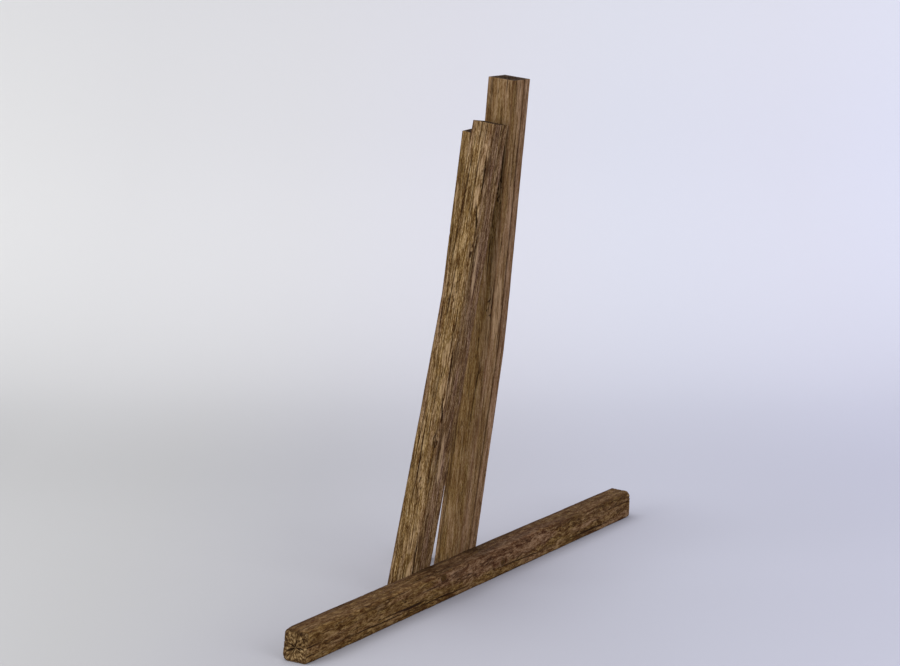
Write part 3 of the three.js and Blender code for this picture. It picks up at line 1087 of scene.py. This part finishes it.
def steel_material():
    """Galvanised steel, dulled and blotched with rust."""
    shader = Shader("weathered_steel")
    place = shader.place()
    spangle = shader.noise(place, (380.0, 380.0), 3.0, 0.6)
    rust = shader.ramp(shader.noise(place, (95.0, 95.0), 6.0, 0.68), 0.47, 0.62)
    zinc = shader.mix(shader.ramp(spangle, 0.35, 0.65), *ZINC)
    dull = shader.math("MULTIPLY", rust, 0.9)
    shader.fill(shader.surface, {
        "Base Color": shader.mix(rust, zinc, shader.mix(spangle, *RUST)),
        "Metallic": shader.math("SUBTRACT", 0.9, dull, clamp=True),
        "Roughness": shader.ramp(rust, 0.0, 1.0, 0.42, 0.88),
        "Normal": shader.bump(spangle, 0.5, 0.0004),
    })
    return shader.material


# == Stage, light and camera ==
FLOOR_LEVEL = -0.0005
STAGE_HALF_WIDTH = 14.0
FLOOR_NEAR = -12.0
CURVE_START = 3.4
CURVE_RADIUS = 4.5
CURVE_STEPS = 32
WALL_TOP = 9.0

FLOOR_TONE_UNTIL, WALL_TONE_FROM = 1.6, 6.5  # distances behind the middle of the beam
FLOOR_REACH = 2.2  # half width of the tones, from left to right
WALL_REACH = 3.4
FLOOR_TONES = palette(
    (181, 181, 181), (175, 175, 176), (170, 170, 175), (173, 173, 182),
    (179, 180, 192), (183, 184, 198), (188, 189, 206),
)
WALL_TONES = palette(
    (241, 241, 240), (231, 231, 232), (226, 226, 229), (223, 223, 231),
    (222, 224, 235), (224, 225, 238), (228, 230, 247),
)
HIGH_WALL = srgb(250, 250, 252)
HIGH_WALL_SPAN = (1.0, 2.4)  # heights
SHADE = srgb(152, 150, 162)  # painted shadow on the paper beside the beam and round the posts' feet
SHADE_HALF_LENGTH = 1.05  # of the line through the beam that the shade keeps to
BEAM_SHADE_SPAN = (0.70, 0.10)  # distances at which the shade begins and is full
FEET_SHADE_SPAN = (0.80, 0.10)
FEET_MIDDLE = (0.25, 0.45, 0.0)


def paper_material():
    """Studio paper: pale grey, lighter towards the wall, bluer on the right, with a painted shadow beside the
    beam and round the posts' feet, and clear from behind.
    """
    shader = Shader("studio_paper")
    place = shader.place()
    side = shader.vector("DOT_PRODUCT", place, RIGHT, "Value")
    back = shader.vector("DOT_PRODUCT", place, AHEAD, "Value")
    along, depth, height = shader.add("ShaderNodeSeparateXYZ", {0: place}).outputs

    def tones_by_side(reach, colours):
        part = shader.math("ADD", shader.math("MULTIPLY", side, 0.5 / reach), 0.5, clamp=True)
        return shader.tones(part, 0.0, 1.0, colours)

    wall = tones_by_side(WALL_REACH, WALL_TONES)
    wall = shader.over(wall, (shader.ramp(height, *HIGH_WALL_SPAN), 0.25, HIGH_WALL))

    past_end = shader.math("SUBTRACT", shader.math("ABSOLUTE", along), SHADE_HALF_LENGTH)
    past_end = shader.math("MAXIMUM", past_end, 0.0)
    squares = [shader.math("MULTIPLY", value, value) for value in (past_end, depth)]
    from_beam = shader.math("SQRT", shader.math("ADD", *squares))
    from_feet = shader.vector("DISTANCE", place, FEET_MIDDLE, "Value")
    # Painted shadow: the paper is darkened beside the beam and round the posts' feet.
    floor = shader.over(
        tones_by_side(FLOOR_REACH, FLOOR_TONES),
        (shader.ramp(from_beam, *BEAM_SHADE_SPAN), 0.20, SHADE),
        (shader.ramp(from_feet, *FEET_SHADE_SPAN), 0.12, SHADE),
    )

    paper = shader.mix(shader.ramp(back, FLOOR_TONE_UNTIL, WALL_TONE_FROM), floor, wall)
    shader.fill(shader.surface, {"Base Color": paper, "Roughness": 0.9, "Specular IOR Level": 0.1})
    from_behind = shader.add("ShaderNodeNewGeometry").outputs["Backfacing"]
    clear = shader.add("ShaderNodeBsdfTransparent").outputs[0]
    sides = {0: from_behind, 1: shader.surface.outputs[0], 2: clear}
    facing = shader.add("ShaderNodeMixShader", sides).outputs[0]
    shader.fill(shader.tree.nodes["Material Output"], {"Surface": facing})
    return shader.material


def build_stage():
    """A sweep of paper: a floor that curves up into a wall."""
    outline = [(FLOOR_NEAR, FLOOR_LEVEL)]
    for step in range(CURVE_STEPS + 1):
        angle = math.pi / 2 * step / CURVE_STEPS
        rise = CURVE_RADIUS * (1 - math.cos(angle))
        outline.append((CURVE_START + CURVE_RADIUS * math.sin(angle), FLOOR_LEVEL + rise))
    outline.append((CURVE_START + CURVE_RADIUS, WALL_TOP))
    vertices = []
    for depth, height in outline:
        for side in (-STAGE_HALF_WIDTH, STAGE_HALF_WIDTH):
            vertices.append(AHEAD * depth + RIGHT * side + Vector((0, 0, height)))
    faces = [(2 * i, 2 * i + 1, 2 * i + 3, 2 * i + 2) for i in range(len(outline) - 1)]
    add_mesh_object("studio_sweep", vertices, faces, paper_material())


MID_HEIGHT = (0.0, 0.0, 0.9)
WHITE = (1.0, 1.0, 1.0)
# Place and target, in metres right, ahead and up from under the beam's middle, then size, power and colour.
LIGHTS = {
    "key": ((-1.2, 1.5, 5.1), (0.0, 0.0, 0.0), 4.4, 130.0, WHITE),
    "side": ((-4.6, -3.0, 2.5), MID_HEIGHT, 3.5, 110.0, WHITE),
    "fill": ((3.4, -4.4, 2.3), MID_HEIGHT, 4.0, 120.0, (0.95, 0.95, 1.0)),
    "wall": ((3.6, 2.6, 4.6), (2.6, 6.5, 2.2), 3.0, 30.0, (0.93, 0.94, 1.0)),
}
AIR_COLOUR = (0.98, 0.98, 1.0, 1.0)
AIR_STRENGTH = 0.72


def build_light():
    for name, (place, target, size, power, colour) in LIGHTS.items():
        data = bpy.data.lights.new(name, "AREA")
        data.shape, data.size, data.energy, data.color = "DISK", size, power, colour
        start, end = (RIGHT * x + AHEAD * y + Vector((0, 0, z)) for x, y, z in (place, target))
        light = add_object(name, data)
        light.location = start
        light.rotation_euler = (end - start).to_track_quat("-Z", "Y").to_euler()
    world = bpy.data.worlds.new("studio_air")
    world.use_nodes = True
    background = world.node_tree.nodes["Background"]
    background.inputs["Color"].default_value = AIR_COLOUR
    background.inputs["Strength"].default_value = AIR_STRENGTH
    bpy.context.scene.world = world


def build_camera():
    data = bpy.data.cameras.new("camera")
    data.lens = CAMERA_LENS
    data.sensor_width = SENSOR_WIDTH
    data.sensor_fit = "HORIZONTAL"
    camera = add_object("camera", data)
    camera.location = CAMERA_AT
    camera.rotation_euler = (math.radians(90.0 - CAMERA_PITCH), 0.0, HEADING)
    bpy.context.scene.camera = camera


# == Assembly ==
def main():
    for timber in TIMBERS:
        build_timber(timber, wood_material("weathered_" + timber.slot, WOOD_LOOKS[timber.slot]))
    steel = steel_material()
    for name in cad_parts:
        if name.startswith("screw_"):
            build_fixing(name.removeprefix("screw_"), steel)
    build_stage()
    build_light()
    build_camera()
    bpy.context.scene.view_settings.view_transform = "Standard"


main()
